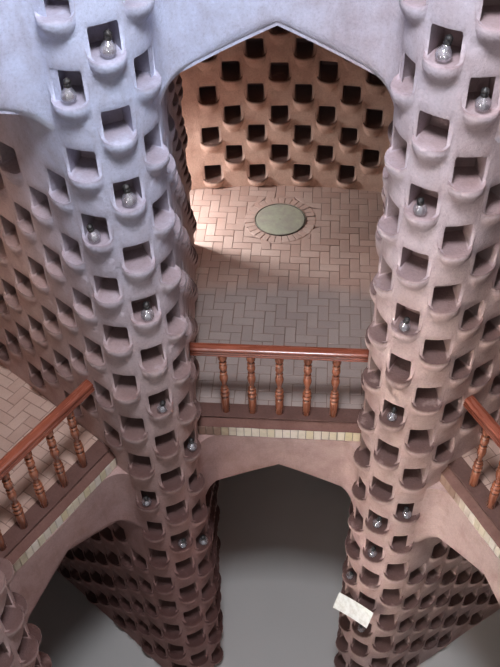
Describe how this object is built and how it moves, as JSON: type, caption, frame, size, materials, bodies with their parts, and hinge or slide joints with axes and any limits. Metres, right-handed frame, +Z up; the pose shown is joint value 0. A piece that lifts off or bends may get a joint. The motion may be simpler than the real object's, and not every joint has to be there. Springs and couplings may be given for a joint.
{
  "type": "pigeon tower gallery section",
  "caption": "Section of a round mud-brick pigeon tower: niche-covered piers round a shaft, pointed arched bays, brick gallery floor and turned wooden rails.",
  "frame": {"origin": "middle of the footprint, on the ground", "axes": "+Z up, +Y outward from the shaft through the centre bay, +X to the right seen from the shaft"},
  "size_m": [12.2996, 8.0502, 8.08],
  "materials": {
    "pier_plaster": "hand-smoothed mud plaster",
    "arch_plaster": "hand-smoothed mud plaster",
    "wall_plaster": "mud plaster, warm",
    "floor_brick": "worn brick pavers",
    "ring_brick": "worn brick",
    "kerb_plaster": "plaster",
    "edge_tile": "pale tile ends",
    "turned_wood": "varnished",
    "rail_wood": "varnished",
    "cover_metal": "dull painted",
    "bulb_glass": "clear glass",
    "lamp_holder": "moulded",
    "blank_label": "blank paper"
  },
  "bodies": {
    "root": {"pier_far_left_lower": "pier_plaster", "pier_left_lower": "pier_plaster", "pier_right_lower": "pier_plaster", "pier_far_right_lower": "pier_plaster", "arch_left_lower": "arch_plaster", "arch_centre_lower": "arch_plaster", "arch_right_lower": "arch_plaster", "outer_wall_left_lower": "wall_plaster", "outer_wall_centre_lower": "wall_plaster", "outer_wall_right_lower": "wall_plaster", "passage_heads_lower": "arch_plaster", "pier_far_left_upper": "pier_plaster", "pier_left_upper": "pier_plaster", "pier_right_upper": "pier_plaster", "pier_far_right_upper": "pier_plaster", "arch_left_upper": "arch_plaster", "arch_centre_upper": "arch_plaster", "arch_right_upper": "arch_plaster", "outer_wall_left_upper": "wall_plaster", "outer_wall_centre_upper": "wall_plaster", "outer_wall_right_upper": "wall_plaster", "passage_heads_upper": "arch_plaster", "gallery_paving_left": "floor_brick", "gallery_kerb_left": "kerb_plaster", "tile_band_left": "edge_tile", "balusters_left": "turned_wood", "handrail_left": "rail_wood", "gallery_paving_centre": "floor_brick", "gallery_kerb_centre": "kerb_plaster", "tile_band_centre": "edge_tile", "balusters_centre": "turned_wood", "handrail_centre": "rail_wood", "gallery_paving_right": "floor_brick", "gallery_kerb_right": "kerb_plaster", "tile_band_right": "edge_tile", "balusters_right": "turned_wood", "handrail_right": "rail_wood", "floor_cover": "cover_metal", "floor_cover_ring": "ring_brick", "top_paving": "floor_brick", "top_kerb": "kerb_plaster", "top_tile_band": "edge_tile"}
  },
  "joints": []
}
